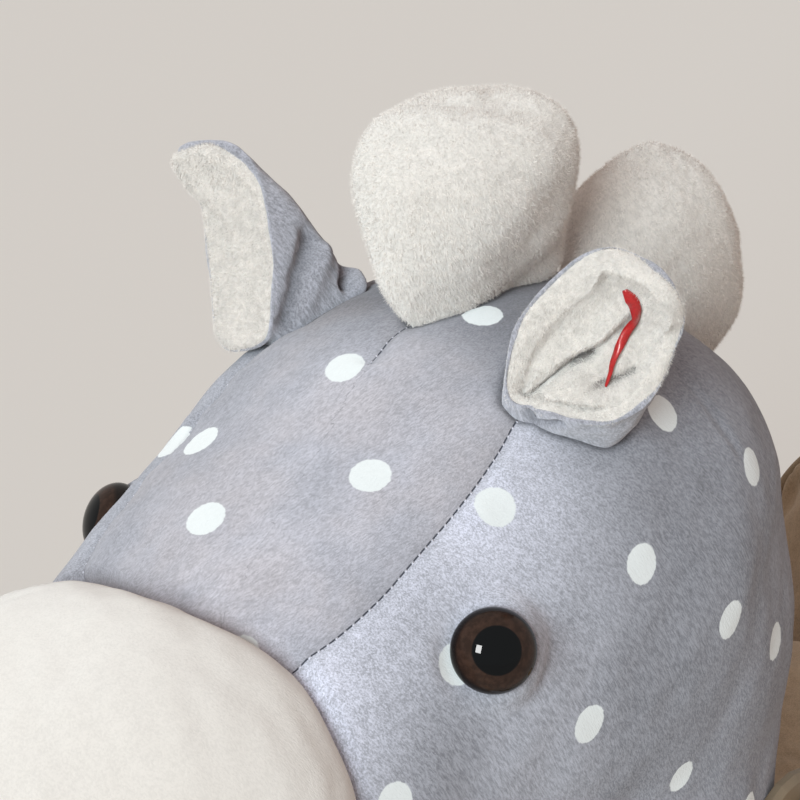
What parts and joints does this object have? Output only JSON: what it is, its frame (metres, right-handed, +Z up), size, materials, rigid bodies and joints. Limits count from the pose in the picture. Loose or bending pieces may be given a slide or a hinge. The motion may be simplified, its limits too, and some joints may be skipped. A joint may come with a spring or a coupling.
{
  "type": "plush rocking horse",
  "caption": "Stuffed plush horse with polka-dot skin, pale muzzle, mane tufts and lined ears, on curved wooden rockers, with padded seat, back cushion and hand grips.",
  "frame": {"origin": "on the floor, under the middle of the object's box", "axes": "+Z up, the horse faces -Y, +X is the horse's left side"},
  "size_m": [0.292, 0.6599, 0.5718],
  "materials": {
    "wood": "satin",
    "plywood": "matte",
    "strip_rubber": "matte",
    "grey_plush": "matte",
    "cream_plush": "matte",
    "taupe_plush": "matte",
    "eye": "gloss",
    "plastic": "matte",
    "screw_steel": "satin",
    "label_cloth": "satin"
  },
  "bodies": {
    "horse": {"rocker_left": "wood", "rocker_right": "wood", "front_plank": "wood", "rear_plank": "wood", "footrest_plank": "wood", "front_leg_post_left": "plywood", "front_leg_post_right": "plywood", "rear_leg_post_left": "plywood", "rear_leg_post_right": "plywood", "seat_board": "plywood", "neck_board": "plywood", "neck_cleat_left": "plywood", "neck_cleat_right": "plywood", "back_board": "plywood", "back_cleat": "plywood", "grip_strip_left": "strip_rubber", "grip_strip_right": "strip_rubber", "torso": "grey_plush", "neck": "grey_plush", "head": "grey_plush", "front_leg_left": "grey_plush", "front_leg_right": "grey_plush", "rear_leg_left": "grey_plush", "rear_leg_right": "grey_plush", "ear_left": "grey_plush", "ear_right": "grey_plush", "muzzle": "cream_plush", "front_hoof_left": "cream_plush", "front_hoof_right": "cream_plush", "rear_hoof_left": "cream_plush", "rear_hoof_right": "cream_plush", "ear_lining_left": "cream_plush", "ear_lining_right": "cream_plush", "forelock_tuft": "cream_plush", "crest_tuft": "cream_plush", "nape_tuft": "cream_plush", "tail": "cream_plush", "saddle": "taupe_plush", "back_cushion": "taupe_plush", "eye_left": "eye", "eye_right": "eye", "handle_sleeve": "plastic", "handle_collar_left": "plastic", "handle_collar_right": "plastic", "eye_washer_left": "plastic", "eye_washer_right": "plastic", "front_plank_screw_left": "screw_steel", "front_plank_screw_right": "screw_steel", "rear_plank_screw_left": "screw_steel", "rear_plank_screw_right": "screw_steel", "footrest_plank_screw_left": "screw_steel", "footrest_plank_screw_right": "screw_steel", "ear_label": "label_cloth"},
    "handle": {"handle_bar": "wood", "grip_left": "wood", "grip_right": "wood", "grip_screw_left": "screw_steel", "grip_screw_right": "screw_steel"}
  },
  "joints": [
    {"name": "handle_spin", "type": "hinge", "parent": "horse", "child": "handle", "pos_m": [0, 0, 0.3179], "axis": [1, 0, 0], "continuous": true}
  ]
}
